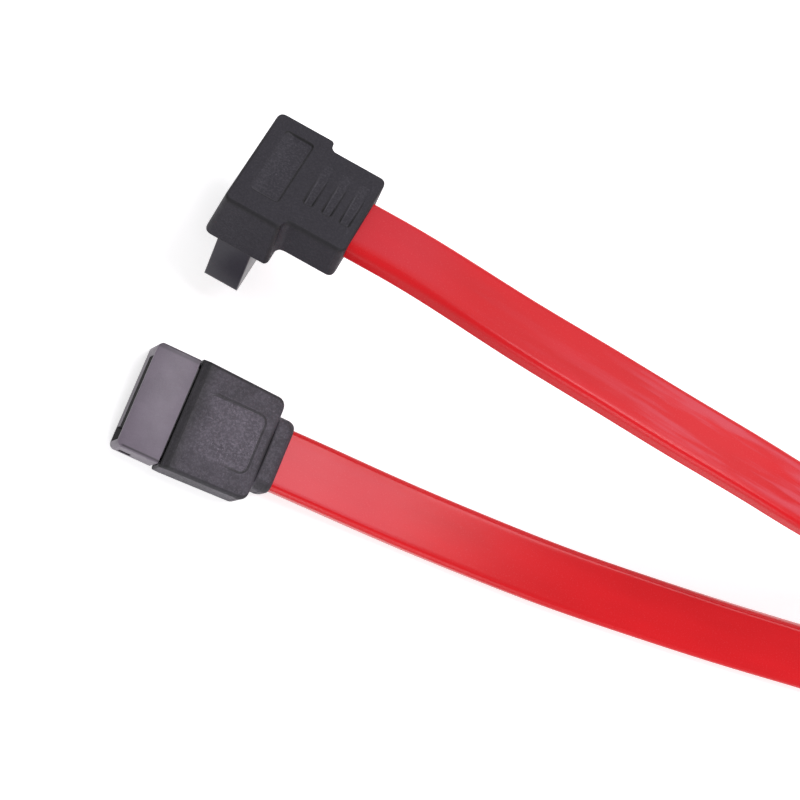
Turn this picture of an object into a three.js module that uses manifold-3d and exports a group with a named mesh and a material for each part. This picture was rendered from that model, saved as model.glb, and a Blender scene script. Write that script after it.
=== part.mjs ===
// A serial data cable: a straight connector and a right-angle connector, joined by a flat red cable.
// Millimetres, +Z up. The straight connector lies flat on the floor with its mating face toward -X.
// The right-angle connector stands beside it, tipped on the lower edge of its shroud.
// The origin is the middle of the two connectors' bounding box, at floor level.
import * as THREE from 'three'
import { mergeVertices } from 'three/addons/utils/BufferGeometryUtils.js'
import Module from 'manifold-3d'

const wasm = await Module()
wasm.setup()

// Clearance kept between neighbouring pieces.
const GAP = 0.3

// Receptacle housing, shared by both connectors. Its own frame has the mating face at x = 0,
// +X into the connector, Y across the width and the thin wall of the slot at +Z.
const SHROUD = { width: 14.0, thick: 4.6, corner: 0.22, front: 0.8 }
const REAR = { width: 12.0, thick: 3.6, end: 11.0 }
const SLOT = { y0: -6.1, y1: 5.0, z0: 0.3, z1: 1.6, depth: 5.2 }
const KEY = { y1: -4.4, z0: -1.7 }
const LEAD_IN = { depth: 0.6, side: 0.12, below: 0.5, above: 0.3 }
const SIDE_RECESS = { x0: 1.1, x1: 2.7, z0: -1.5, z1: -0.3, depth: 0.35 }

// Contacts: strips of sheet metal, seven in a row, in channels under the slot.
const PIN = { count: 7, pitch: 1.27, offset: 0.3, width: 0.5, thick: 0.25 }
const CHANNEL = { width: 0.9, x0: 0.5, z0: -0.78, z1: 0.08 }
const TAIL_Z = -0.35
const BOW = [[0.8, -0.2], [1.7, 0.55], [2.5, 0.55], [4.4, TAIL_Z]]
const SIGNAL_PINS = [2, 3, 5, 6]
const GROUND_PINS = [1, 4, 7]

// Flat cable and its conductors.
const CABLE = { width: 8.2, thick: 2.7, corner: 1.0, steps: 80 }
const WIRE_RADIUS = 0.5
const DRAIN_RADIUS = 0.2

// Inner mould: a sleeve over the contact tails and the conductors.
const BORE = [
  (PIN.count - 1) * PIN.pitch + 2 * (PIN.offset + DRAIN_RADIUS + GAP),
  2 * (WIRE_RADIUS + GAP),
]
const SLEEVE = { width: BORE[0] + 1.4, thick: BORE[1] + 1.4, length: 5.0 }
const CABLE_POCKET = [CABLE.width + 2 * GAP, CABLE.thick + 2 * GAP]

// Straight connector: overmould, measured along the cable from the mating face.
const STRAIGHT = {
  exposed: 5.65,
  front: SHROUD.width + 0.6,
  rear: SHROUD.width - 0.1,
  end: 17.6,
  thick: 5.4,
  corner: 1.2,
  edge: 0.5,
  slope: { length: 0.9, drop: 0.4 },
  tailEnd: 13.0,
  cableEnd: 18.5,
}
const COLLAR = { width: 9.8, thick: 4.9, end: 20.5, corner: 1.5, round: 1.0 }
const FRAME = { x0: 7.9, x1: 15.95, y0: -3.5, y1: 4.2, corner: 1.0, line: 0.3, depth: 0.25 }

// Right-angle connector: its own frame has the top face at z = 0, its front edge at x = 0
// and +X along the cable.
const ANGLED = {
  exposed: 9.2,
  shroudFront: 0.95,
  depth: 16.9,
  edge: 0.45,
  corner: 0.9,
  cableEnd: 13.2,
  cableZ: -3.0,
  sleeveSet: 2.95,
  tailReach: 3.5,
}
// The tails turn toward the cable at its height, so they grow with the connector's depth.
const TAIL_TURN = ANGLED.depth + ANGLED.cableZ
const HEAD = { width: 15.9, length: 7.6, depth: ANGLED.depth - ANGLED.exposed - GAP }
// How far the head's foot stands out past its top, at the front, the back and each side.
const SPLAY = { front: 0.8, back: 0.3, side: 0.35 }
const RELIEF = { width: 13.1, end: 15.5, depth: 5.5 }
const LABEL = { x0: 1.95, x1: 5.7, y0: -4.7, y1: 5.7, corner: 0.5, depth: 0.25 }
const GRIP = { depth: 0.35, y0: -2.8, y1: 4.0, bars: [[8.4, 9.6], [10.9, 12.1],
  [13.3, RELIEF.end + 0.2]] }
// Yaw, pitch and roll in degrees, and where the top face's front edge lies above the floor plan.
const TIPPED = { yaw: -7.34, pitch: -13.96, roll: -21.34, x: -0.78, y: 29.97 }

// Where the cable runs: [x, y, rise, lean] on the floor plan of the straight connector. The rise
// is the gap between the cable's lowest edge and the floor. The lean, in degrees, turns the
// cable's broad face outward from flat (0) until it stands on its narrow edge (90).
const STRAIGHT_Z = STRAIGHT.thick / 2
const LEAVING_Z = STRAIGHT_Z - CABLE.thick / 2
const ON_FLOOR = [
  [STRAIGHT.cableEnd, 0, LEAVING_Z, 0], [24, 0.12, 1.3, 0], [31.5, 0.3, 0.75, 0],
  [39, 0.53, 0.2, 1], [48, 0.87, 0.05, 3], [61, 1.6, 0.05, 7], [71.6, 2.6, 0.05, 11],
  [86, 4.2, 0.05, 17], [96, 5.5, 0.05, 22], [105, 6.3, 0.05, 30], [113.5, 5.4, 0.05, 42],
  [122.2, 1.1, 0.05, 57], [131, -5.8, 0.05, 72], [140.8, -13.6, 0.05, 84],
  [151.5, -20.2, 0.05, 90], [163.6, -24, 0.05, 90], [178, -23, 0.05, 90],
  [190, -15.8, 0.05, 90], [198, -3.8, 0.05, 90], [201, 10.4, 0.05, 90], [199, 24.8, 0.05, 90],
  [192.2, 37.6, 0.05, 90], [181.6, 46.9, 0.05, 90], [169.2, 51.5, 0.08, 90],
]
// Where it climbs to the tipped connector: [x, y, centre height, lean].
const CLIMBING = [
  [157.3, 51.2, 4.4, 86], [146.5, 47.4, 5.4, 77], [136.8, 41, 7.6, 65], [127.5, 34.2, 10.9, 52],
  [117.5, 28, 15, 38], [107, 23.4, 19.1, 25], [96, 20.5, 22.5, 16], [84.6, 18.9, 24.6, 12],
  [71.8, 19.6, 25.4, 12], [59.7, 20.6, 25.35, 13], [48, 21.9, 24.6, 15],
  [36.7, 23.35, 23.15, 18],
]

/** A closed geometry as a solid that can be cut and joined. */
function solid (geometry) {
  const bare = geometry.clone()
  bare.deleteAttribute('normal')
  bare.deleteAttribute('uv')
  const merged = mergeVertices(bare, 1e-5)
  return new wasm.Manifold(new wasm.Mesh({
    numProp: 3,
    vertProperties: Float32Array.from(merged.attributes.position.array),
    triVerts: Uint32Array.from(merged.index.array),
  }))
}

/** A solid back as a geometry. */
function geometryOf (body) {
  const mesh = body.getMesh()
  const geometry = new THREE.BufferGeometry()
  geometry.setAttribute('position',
    new THREE.BufferAttribute(Float32Array.from(mesh.vertProperties), 3))
  geometry.setIndex(new THREE.BufferAttribute(Uint32Array.from(mesh.triVerts), 1))
  geometry.computeVertexNormals()
  return geometry
}

/** A block between two corners. */
function block (x0, x1, y0, y1, z0, z1) {
  return new THREE.BoxGeometry(x1 - x0, y1 - y0, z1 - z0)
    .translate((x0 + x1) / 2, (y0 + y1) / 2, (z0 + z1) / 2)
}

/** A block centred on the X axis at height z. */
function duct (x0, x1, [width, thick], z = 0) {
  return block(x0, x1, -width / 2, width / 2, z - thick / 2, z + thick / 2)
}

/** A block whose section changes from [y0, y1, z0, z1] at x0 to another at x1. */
function taper (x0, from, x1, to) {
  const geometry = new THREE.BoxGeometry(2, 2, 2)
  const position = geometry.attributes.position
  for (let i = 0; i < position.count; i++) {
    const front = position.getX(i) < 0
    const [y0, y1, z0, z1] = front ? from : to
    position.setXYZ(i, front ? x0 : x1, position.getY(i) < 0 ? y0 : y1,
      position.getZ(i) < 0 ? z0 : z1)
  }
  return geometry
}

/** A rectangle with rounded corners between two corners of the plane. */
function roundedRect (x0, x1, y0, y1, radius) {
  const shape = new THREE.Shape()
  shape.absarc(x1 - radius, y0 + radius, radius, -Math.PI / 2, 0)
  shape.absarc(x1 - radius, y1 - radius, radius, 0, Math.PI / 2)
  shape.absarc(x0 + radius, y1 - radius, radius, Math.PI / 2, Math.PI)
  shape.absarc(x0 + radius, y0 + radius, radius, Math.PI, Math.PI * 1.5)
  return shape
}

/** A plan outline raised between two heights, with rounded edges. */
function slab (shape, z0, z1, edge, curveSegments = 4) {
  return new THREE.ExtrudeGeometry(shape, {
    depth: z1 - z0 - 2 * edge,
    curveSegments,
    bevelEnabled: edge > 0,
    bevelThickness: edge,
    bevelSize: edge,
    bevelOffset: -edge,
    bevelSegments: 3,
  }).translate(0, 0, z0 + edge)
}

/** A rounded section in Y and Z, run along X. */
function bar (x0, x1, width, thick, corner, edge = 0, curveSegments = 3) {
  const section = roundedRect(-width / 2, width / 2, -thick / 2, thick / 2, corner)
  const turn = new THREE.Matrix4().makeBasis(
    new THREE.Vector3(0, 1, 0), new THREE.Vector3(0, 0, 1), new THREE.Vector3(1, 0, 0))
  return slab(section, x0, x1, edge, curveSegments).applyMatrix4(turn)
}

/** The y of a pin, counted from 1 at the -Y end. */
function pinY (pin) {
  return PIN.offset + (pin - (PIN.count + 1) / 2) * PIN.pitch
}

/** A strip of sheet metal that follows a line of [x, z] points, centred on y. */
function strip (points, y) {
  const line = points.map(([x, z]) => new THREE.Vector2(x, z))
  const sides = line.map((point, i) => {
    const before = point.clone().sub(line[Math.max(i - 1, 0)])
    const after = line[Math.min(i + 1, line.length - 1)].clone().sub(point)
    const a = (i > 0 ? before : after).normalize()
    const b = (i < line.length - 1 ? after : before).normalize()
    const mitre = a.clone().add(b).normalize()
    const reach = PIN.thick / 2 / mitre.dot(a)
    return new THREE.Vector2(-mitre.y, mitre.x).multiplyScalar(reach)
  })
  const upper = line.map((point, i) => point.clone().add(sides[i]))
  const lower = line.map((point, i) => point.clone().sub(sides[i])).reverse()
  const stand = new THREE.Matrix4().makeBasis(
    new THREE.Vector3(1, 0, 0), new THREE.Vector3(0, 0, 1), new THREE.Vector3(0, -1, 0))
  return new THREE.ExtrudeGeometry(new THREE.Shape([...upper, ...lower]),
    { depth: PIN.width, bevelEnabled: false })
    .applyMatrix4(stand).translate(0, y + PIN.width / 2, 0)
}

/** A round conductor along X. */
function conductor (x0, x1, radius, y, z) {
  return new THREE.CylinderGeometry(radius, radius, x1 - x0, 10)
    .rotateZ(Math.PI / 2).translate((x0 + x1) / 2, y, z)
}

/** The housing: a shroud with rounded front corners and its rear block, less the keyed slot,
 * the contact channels and, where it has them, a recess in each side. */
function housing (exposed, recessed) {
  const { y0, y1, z0, z1, depth } = SLOT
  const { side, below, above } = LEAD_IN
  const half = SHROUD.width / 2
  const plan = slab(roundedRect(0, exposed + 2, -half, half, SHROUD.front),
    -SHROUD.thick, SHROUD.thick, 0)
  let body = solid(bar(0, exposed, SHROUD.width, SHROUD.thick, SHROUD.corner))
    .intersect(solid(plan))
    .add(solid(duct(exposed - 1, REAR.end, [REAR.width, REAR.thick])))
  const cutters = [
    block(-1, depth, y0, y1, z0, z1),
    block(-1, depth, y0, KEY.y1, KEY.z0, z0 + 0.1),
    taper(-0.01, [y0 - side, y1 + side, z0 - below, z1 + above],
      LEAD_IN.depth, [y0, y1, z0, z1]),
    taper(-0.01, [y0 - side, KEY.y1 + side, KEY.z0 - above, z0],
      LEAD_IN.depth, [y0, KEY.y1, KEY.z0, z0]),
  ]
  for (let pin = 1; pin <= PIN.count; pin++) {
    const from = pinY(pin) - CHANNEL.width / 2
    const to = pinY(pin) + CHANNEL.width / 2
    cutters.push(block(CHANNEL.x0, depth, from, to, CHANNEL.z0, z0 + 0.1))
    cutters.push(block(depth - 0.5, REAR.end + 1, from, to, CHANNEL.z0, CHANNEL.z1))
  }
  for (const sign of recessed ? [-1, 1] : []) {
    const inner = sign * (half - SIDE_RECESS.depth)
    const outer = sign * (half + 1)
    cutters.push(block(SIDE_RECESS.x0, SIDE_RECESS.x1, Math.min(inner, outer),
      Math.max(inner, outer), SIDE_RECESS.z0, SIDE_RECESS.z1))
  }
  for (const cutter of cutters) body = body.subtract(solid(cutter))
  return geometryOf(body)
}

/** The inner mould: a sleeve from x0, bored for the tails and the conductors. */
function sleeve (x0, z) {
  const x1 = x0 + SLEEVE.length
  const body = solid(duct(x0, x1, [SLEEVE.width, SLEEVE.thick], z))
  return geometryOf(body.subtract(solid(duct(x0 - 1, x1 + 1, BORE, z))))
}

/** The room that a sleeve, the conductors and the cable's end take inside an overmould. */
function inside (sleeveStart, cableEnd, exit, z) {
  const sleeveRoom = [SLEEVE.width + 2 * GAP, SLEEVE.thick + 2 * GAP]
  return [
    duct(sleeveStart - GAP, sleeveStart + SLEEVE.length + GAP, sleeveRoom, z),
    duct(sleeveStart, cableEnd, BORE, z),
    duct(cableEnd - GAP, exit + 1, CABLE_POCKET, z),
  ]
}

/** The straight connector's overmould, in the receptacle's frame. */
function straightOvermould () {
  const { front, rear, end, thick, corner, edge, slope } = STRAIGHT
  const start = STRAIGHT.exposed + GAP
  const half = thick / 2
  const ahead = start - 2
  const widen = (front - rear) / 2 / (end - start) * 2
  const outline = new THREE.Shape()
  outline.moveTo(ahead, -front / 2 - widen)
  outline.lineTo(end - corner, -rear / 2)
  outline.absarc(end - corner, -rear / 2 + corner, corner, -Math.PI / 2, 0)
  outline.absarc(end - corner, rear / 2 - corner, corner, 0, Math.PI / 2)
  outline.lineTo(ahead, front / 2 + widen)
  let body = solid(slab(outline, -half, half, edge))
    .add(solid(bar(end - 2, COLLAR.end, COLLAR.width, COLLAR.thick, COLLAR.corner,
      COLLAR.round)))
  const wide = front
  const cutters = [
    block(ahead - 2, start, -wide, wide, -thick, thick),
    taper(start - 1, [-wide, wide, half - slope.drop * (1 + 1 / slope.length), half + 1],
      start + slope.length, [-wide, wide, half, half + 1]),
    taper(start - 1, [-wide, wide, -half - 1, -half + slope.drop * (1 + 1 / slope.length)],
      start + slope.length, [-wide, wide, -half - 1, -half]),
    duct(start - 1, REAR.end + GAP, [REAR.width + 2 * GAP, REAR.thick + 2 * GAP]),
    ...inside(REAR.end + GAP, STRAIGHT.cableEnd, COLLAR.end, 0),
  ]
  const { x0, x1, y0, y1, line } = FRAME
  const ring = roundedRect(x0, x1, y0, y1, FRAME.corner)
  ring.holes.push(roundedRect(x0 + line, x1 - line, y0 + line, y1 - line,
    FRAME.corner - line))
  cutters.push(slab(ring, half - FRAME.depth, half + 1, 0))
  for (const cutter of cutters) body = body.subtract(solid(cutter))
  return geometryOf(body)
}

/** The head, with walls that splay evenly from its top to its foot. */
function splayedHead () {
  const { edge, corner } = ANGLED
  const plan = roundedRect(0, HEAD.length, -HEAD.width / 2, HEAD.width / 2, corner)
  const head = slab(plan, -HEAD.depth, 0, edge)
  const position = head.attributes.position
  for (let i = 0; i < position.count; i++) {
    const down = -position.getZ(i) / HEAD.depth
    const along = position.getX(i) / HEAD.length
    const across = position.getY(i) / (HEAD.width / 2)
    position.setX(i, position.getX(i) +
      down * (SPLAY.back * along - SPLAY.front * (1 - along)))
    position.setY(i, position.getY(i) + down * SPLAY.side * across)
  }
  return head
}

/** The right-angle connector's overmould: head and strain relief. */
function angledOvermould () {
  const { edge, corner, cableZ } = ANGLED
  const reliefPlan = roundedRect(HEAD.length - 3, RELIEF.end, -RELIEF.width / 2,
    RELIEF.width / 2, corner)
  let body = solid(splayedHead())
    .add(solid(slab(reliefPlan, -RELIEF.depth, 0, edge)))
  const middle = ANGLED.shroudFront + SHROUD.thick / 2
  const rear = -ANGLED.depth + REAR.end
  const rearRoom = [REAR.width / 2 + GAP, REAR.thick / 2 + GAP]
  const first = pinY(1) - PIN.width / 2 - 3 * GAP
  const last = pinY(PIN.count) + PIN.width / 2 + 3 * GAP
  const sleeveStart = middle + ANGLED.sleeveSet
  const label = roundedRect(LABEL.x0, LABEL.x1, LABEL.y0, LABEL.y1, LABEL.corner)
  const cutters = [
    block(middle - rearRoom[1], middle + rearRoom[1], -rearRoom[0], rearRoom[0],
      -HEAD.depth - 1, rear + GAP),
    block(middle - 1, sleeveStart + 0.1, first, last, rear, cableZ + 2 * GAP),
    ...inside(sleeveStart, ANGLED.cableEnd, RELIEF.end, cableZ),
    slab(label, -LABEL.depth, 1, 0),
    ...GRIP.bars.map(([x0, x1]) => block(x0, x1, GRIP.y0, GRIP.y1, -GRIP.depth, 1)),
  ]
  for (const cutter of cutters) body = body.subtract(solid(cutter))
  return geometryOf(body)
}

/** The cable's line, with its broad face leaning as the route says. */
class Ribbon extends THREE.CatmullRomCurve3 {
  constructor (points, leans) {
    super(points)
    this.leans = new THREE.CatmullRomCurve3(
      leans.map(lean => new THREE.Vector3(lean, 0, 0)), false, 'catmullrom')
  }

  computeFrenetFrames (segments) {
    const up = new THREE.Vector3(0, 0, 1)
    const frames = { tangents: [], normals: [], binormals: [] }
    for (let i = 0; i <= segments; i++) {
      const u = i / segments
      const tangent = this.getTangentAt(u)
      const lean = THREE.MathUtils.degToRad(this.leans.getPoint(this.getUtoTmapping(u)).x)
      const left = up.clone().cross(tangent).normalize()
      const top = tangent.clone().cross(left)
      frames.tangents.push(tangent)
      frames.normals.push(left.clone().multiplyScalar(Math.cos(lean))
        .addScaledVector(top, Math.sin(lean)))
      frames.binormals.push(top.clone().multiplyScalar(Math.cos(lean))
        .addScaledVector(left, -Math.sin(lean)))
    }
    return frames
  }
}

/** The flat cable from the straight connector to the tipped one. */
function flatCable (tipped) {
  const { width, thick, corner, steps } = CABLE
  const points = ON_FLOOR.map(([x, y, rise, lean]) => {
    const angle = THREE.MathUtils.degToRad(lean)
    const reach = (width / 2 - corner) * Math.sin(angle) +
      (thick / 2 - corner) * Math.cos(angle) + corner
    return new THREE.Vector3(x, y, rise + reach)
  })
  points.push(...CLIMBING.map(([x, y, z]) => new THREE.Vector3(x, y, z)))
  for (const x of [RELIEF.end + 6, RELIEF.end, ANGLED.cableEnd]) {
    points.push(tipped.localToWorld(new THREE.Vector3(x, 0, ANGLED.cableZ)))
  }
  const rest = [-TIPPED.roll, -TIPPED.roll, -TIPPED.roll]
  const leans = [...ON_FLOOR, ...CLIMBING].map(entry => entry[3]).concat(rest)
  const section = roundedRect(-width / 2, width / 2, -thick / 2, thick / 2, corner)
  return new THREE.ExtrudeGeometry(section,
    { steps, curveSegments: 2, bevelEnabled: false, extrudePath: new Ribbon(points, leans) })
}

const GREY = { color: 0x76707a, roughness: 0.42, metalness: 0 }
const OVERMOULD_GREY = { color: 0x504e55, roughness: 0.7, metalness: 0 }
const BLACK = { color: 0x2b2a2e, roughness: 0.45, metalness: 0 }
const OVERMOULD_BLACK = { color: 0x3e3c42, roughness: 0.7, metalness: 0 }
const GOLD = { color: 0xd0a64c, roughness: 0.3, metalness: 1 }
const INNER = { color: 0xc9c5b8, roughness: 0.6, metalness: 0 }
const INSULATION = { color: 0xe8e4da, roughness: 0.5, metalness: 0 }
const TINNED = { color: 0xb9bcc0, roughness: 0.35, metalness: 1 }
const RED = { color: 0xc41a22, roughness: 0.35, metalness: 0 }

/** A named piece with its own material. */
function piece (name, geometry, look) {
  const mesh = new THREE.Mesh(geometry, new THREE.MeshStandardMaterial(look))
  mesh.name = name
  return mesh
}

/** The receptacle and its contacts, with tails as given, in the receptacle's frame. */
function receptacle (prefix, exposed, recessed, tail, look) {
  const parts = new THREE.Group()
  parts.add(piece(`${prefix}_receptacle`, housing(exposed, recessed), look))
  for (let pin = 1; pin <= PIN.count; pin++) {
    parts.add(piece(`${prefix}_contact_${pin}`, strip([...BOW, ...tail], pinY(pin)), GOLD))
  }
  return parts
}

/** The conductors between the contact tails and the cable's end. */
function conductors (prefix, x0, x1, z) {
  const parts = new THREE.Group()
  SIGNAL_PINS.forEach((pin, i) => parts.add(piece(`${prefix}_wire_${i + 1}`,
    conductor(x0, x1, WIRE_RADIUS, pinY(pin), z), INSULATION)))
  GROUND_PINS.forEach((pin, i) => parts.add(piece(`${prefix}_drain_wire_${i + 1}`,
    conductor(x0, x1, DRAIN_RADIUS, pinY(pin), z), TINNED)))
  return parts
}

const straight = new THREE.Group()
straight.position.z = STRAIGHT_Z
straight.add(receptacle('straight', STRAIGHT.exposed, true, [[STRAIGHT.tailEnd, TAIL_Z]],
  GREY))
straight.add(piece('straight_inner_mould', sleeve(REAR.end + GAP, 0), INNER))
straight.add(piece('straight_overmould', straightOvermould(), OVERMOULD_GREY))
straight.add(conductors('straight', STRAIGHT.tailEnd + GAP, STRAIGHT.cableEnd - GAP, 0))

// In the right-angle connector the receptacle stands on end, its thin wall toward the front.
const middle = ANGLED.shroudFront + SHROUD.thick / 2
const upright = receptacle('angled', ANGLED.exposed, false,
  [[TAIL_TURN, TAIL_Z], [TAIL_TURN, -ANGLED.tailReach]], BLACK)
upright.rotation.y = -Math.PI / 2
upright.position.set(middle, 0, -ANGLED.depth)
const angled = new THREE.Group()
angled.add(upright)
angled.add(piece('angled_inner_mould', sleeve(middle + ANGLED.sleeveSet, ANGLED.cableZ),
  INNER))
angled.add(piece('angled_overmould', angledOvermould(), OVERMOULD_BLACK))
angled.add(conductors('angled', middle + ANGLED.tailReach + GAP, ANGLED.cableEnd - GAP,
  ANGLED.cableZ))

// Tipped so that the lowest corner of its shroud touches the floor.
angled.rotation.set(...[TIPPED.roll, TIPPED.pitch, TIPPED.yaw].map(THREE.MathUtils.degToRad),
  'ZYX')
angled.updateMatrixWorld(true)
const lowest = new THREE.Box3().setFromObject(angled, true).min.z
angled.position.set(TIPPED.x, TIPPED.y, -lowest)
angled.updateMatrixWorld(true)

const group = new THREE.Group()
group.add(straight, angled)
const box = new THREE.Box3().setFromObject(group, true)
const centre = box.getCenter(new THREE.Vector3())
group.add(piece('flat_cable', flatCable(angled), RED))
group.position.set(-centre.x, -centre.y, -box.min.z)

export default group
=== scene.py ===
"""Looks of a serial data cable: a straight and a right-angle connector on a flat red cable."""

import logging
import math
from dataclasses import dataclass
from enum import Enum
from typing import Callable, Sequence

import bmesh
import bpy
import numpy as np
from mathutils import Matrix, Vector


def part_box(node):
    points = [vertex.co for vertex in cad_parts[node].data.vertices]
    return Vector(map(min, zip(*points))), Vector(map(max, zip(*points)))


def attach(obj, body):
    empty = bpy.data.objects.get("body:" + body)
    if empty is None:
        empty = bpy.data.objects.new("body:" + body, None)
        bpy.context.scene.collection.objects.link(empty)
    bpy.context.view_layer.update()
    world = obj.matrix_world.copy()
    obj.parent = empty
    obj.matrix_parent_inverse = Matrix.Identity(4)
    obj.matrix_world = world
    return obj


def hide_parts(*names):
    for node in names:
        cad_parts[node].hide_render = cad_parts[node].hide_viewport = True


LOG = logging.getLogger("data_cable")
MM = 0.001
BODY = "root"

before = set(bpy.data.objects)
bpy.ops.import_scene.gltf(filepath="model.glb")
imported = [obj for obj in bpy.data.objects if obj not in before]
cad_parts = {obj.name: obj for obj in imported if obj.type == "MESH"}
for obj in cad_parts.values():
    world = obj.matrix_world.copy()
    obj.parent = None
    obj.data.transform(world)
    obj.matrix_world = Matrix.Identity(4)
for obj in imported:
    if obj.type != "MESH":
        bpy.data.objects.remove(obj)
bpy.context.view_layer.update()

Colour = tuple[float, float, float]
Amount = float | tuple[float, float] | np.ndarray


# Surfaces


class Level(Enum):
    """How finely a sweep is sampled."""

    DRAFT = 0.16
    FINE = 0.08


def ease(value: np.ndarray, low: float, high: float) -> np.ndarray:
    """Smooth step from 0 at low to 1 at high: t squared times (3 - 2t).

    Args:
        value: where to evaluate it.
        low: where the step starts.
        high: where it ends.

    Returns:
        The step's value at each place.
    """
    t = np.clip((value - low) / (high - low), 0.0, 1.0)
    return t * t * (3.0 - 2.0 * t)


def outside_distance(
    x: np.ndarray, y: np.ndarray, low: Sequence[float], high: Sequence[float], corner: float
) -> np.ndarray:
    """Distance outside a rounded rectangle, negative inside.

    With q the distance past the inner rectangle on each axis, it is the length of q's positive
    part, plus the larger of q where both are negative, less the corner radius.

    Args:
        x: places along X.
        y: places along Y.
        low: the rectangle's lowest corner.
        high: its highest corner.
        corner: its corner radius.

    Returns:
        The signed distance at each place.
    """
    qx = np.abs(x - (low[0] + high[0]) / 2) - (high[0] - low[0]) / 2 + corner
    qy = np.abs(y - (low[1] + high[1]) / 2) - (high[1] - low[1]) / 2 + corner
    past = np.hypot(np.maximum(qx, 0.0), np.maximum(qy, 0.0))
    return past + np.minimum(np.maximum(qx, qy), 0.0) - corner


@dataclass
class Stations:
    """Sections along X: place, half width, top and bottom heights and corner radius."""

    x: np.ndarray
    half: np.ndarray
    top: np.ndarray
    bottom: np.ndarray
    corner: np.ndarray

    @classmethod
    def run(
        cls, count: int, x: Amount, half: Amount, top: Amount, bottom: Amount, corner: Amount
    ) -> "Stations":
        """A run of sections; a pair goes evenly from one value to the other.

        Args:
            count: how many sections.
            x: place along X.
            half: half width.
            top: height of the top.
            bottom: height of the bottom.
            corner: corner radius.

        Returns:
            The run.
        """

        def spread(amount: Amount) -> np.ndarray:
            """The amount as one value per section."""
            if isinstance(amount, np.ndarray):
                return amount
            first, last = amount if isinstance(amount, tuple) else (amount, amount)
            return np.linspace(first, last, count)

        return cls(spread(x), spread(half), spread(top), spread(bottom), spread(corner))

    @classmethod
    def even(cls, count: int, x: Amount, half: Amount, top: Amount, corner: Amount) -> "Stations":
        """A run of sections whose bottom mirrors its top."""
        made = cls.run(count, x, half, top, 0.0, corner)
        return cls(made.x, made.half, made.top, -made.top, made.corner)

    @classmethod
    def join(cls, runs: Sequence["Stations"]) -> "Stations":
        """The runs end to end."""
        names = ("x", "half", "top", "bottom", "corner")
        return cls(*(np.concatenate([getattr(r, n) for r in runs]) for n in names))


@dataclass
class Section:
    """Samples round a rounded rectangle.

    A sample is a place on the inner rectangle, from -1 to 1 each way, and a direction in which
    the corner radius is added to it.
    """

    across: np.ndarray
    up: np.ndarray
    out_y: np.ndarray
    out_z: np.ndarray

    @classmethod
    def rounded(
        cls, top: np.ndarray, bottom: np.ndarray, side: int, bend: int
    ) -> "Section":
        """A section with given samples on its top and bottom flats.

        Args:
            top: places across the top flat, rising from -1 to 1.
            bottom: places across the bottom flat, rising from -1 to 1.
            side: samples down each side.
            bend: samples round each corner, its ends left out.

        Returns:
            The section, counter-clockwise seen from +X after the top flat's start.
        """
        flat = np.linspace(1.0, -1.0, side)
        turn = np.linspace(0.0, math.pi / 2, bend + 2)[1:-1]
        one = np.ones
        parts = [
            (top, one(top.size), 0 * top, one(top.size)),
            (one(bend), one(bend), np.sin(turn), np.cos(turn)),
            (one(side), flat, one(side), 0 * flat),
            (one(bend), -one(bend), np.cos(turn), -np.sin(turn)),
            (bottom[::-1], -one(bottom.size), 0 * bottom, -one(bottom.size)),
            (-one(bend), -one(bend), -np.sin(turn), -np.cos(turn)),
            (-one(side), -flat, -one(side), 0 * flat),
            (-one(bend), one(bend), -np.cos(turn), np.sin(turn)),
        ]
        return cls(*(np.concatenate(column) for column in zip(*parts)))

    @staticmethod
    def across_flat(steady: float, step: float, share: float = 0.8) -> np.ndarray:
        """An odd number of places from -1 to 1, about a step apart in the steady distance."""
        return np.linspace(-1, 1, int(2 * steady / step / share) | 1)

    def loft(self, at: Stations, steady: float, share: float = 0.8) -> np.ndarray:
        """The section carried along X through the stations.

        The middle of each flat, out to the steady distance, keeps its own y at every station, so
        that a groove along X follows one line of the grid. Outside it the samples spread evenly
        to the flat's end.

        Args:
            at: the stations.
            steady: half the width that keeps its own y, where the flat is wide enough.
            share: the part of the samples that lies inside it.

        Returns:
            An array of points, stations by samples by 3.
        """
        reach = (at.half - at.corner)[:, None]
        inner = np.minimum(steady, share * reach)
        size = np.abs(self.across)[None, :]
        spread = np.where(
            size <= share,
            size / share * inner,
            inner + (size - share) / (1 - share) * (reach - inner),
        )
        corner = at.corner[:, None]
        middle = (at.top + at.bottom)[:, None] / 2
        rise = (at.top - at.bottom)[:, None] / 2 - corner
        y = np.sign(self.across) * spread + corner * self.out_y
        z = middle + self.up * rise + corner * self.out_z
        x = np.broadcast_to(at.x[:, None], y.shape)
        return np.stack([x, y, z], axis=-1)


def grid_turn(points: np.ndarray, wrap_rows: bool) -> np.ndarray:
    """How sharply a closed grid's surface turns at each point, in turns per millimetre.

    The normal is the cross product of the differences both ways. The turn is the change of the
    normal along each difference over that difference's length, positive on an outer edge.

    Args:
        points: rows by samples by 3, in millimetres; the samples close on themselves.
        wrap_rows: whether the rows close too.

    Returns:
        One value for each point.
    """

    def ahead(values: np.ndarray, axis: int, wrap: bool) -> np.ndarray:
        """Difference between the next and the last neighbour."""
        if wrap:
            return np.roll(values, -1, axis) - np.roll(values, 1, axis)
        return np.gradient(values, axis=axis) * 2

    rows = ahead(points, 0, wrap_rows)
    round_it = ahead(points, 1, True)
    normal = np.cross(round_it, rows)
    normal /= np.maximum(np.linalg.norm(normal, axis=-1, keepdims=True), 1e-9)
    turn = np.zeros(points.shape[:2])
    for axis, step, wrap in ((0, rows, wrap_rows), (1, round_it, True)):
        change = ahead(normal, axis, wrap)
        length = np.maximum((step**2).sum(-1), 1e-4)
        turn += np.clip((change * step).sum(-1) / length, -6.0, 6.0)
    return turn


def make_object(name: str, data: bpy.types.ID) -> bpy.types.Object:
    """A new object in the scene that holds the mesh, camera or light."""
    made = bpy.data.objects.new(name, data)
    bpy.context.scene.collection.objects.link(made)
    return made


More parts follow.
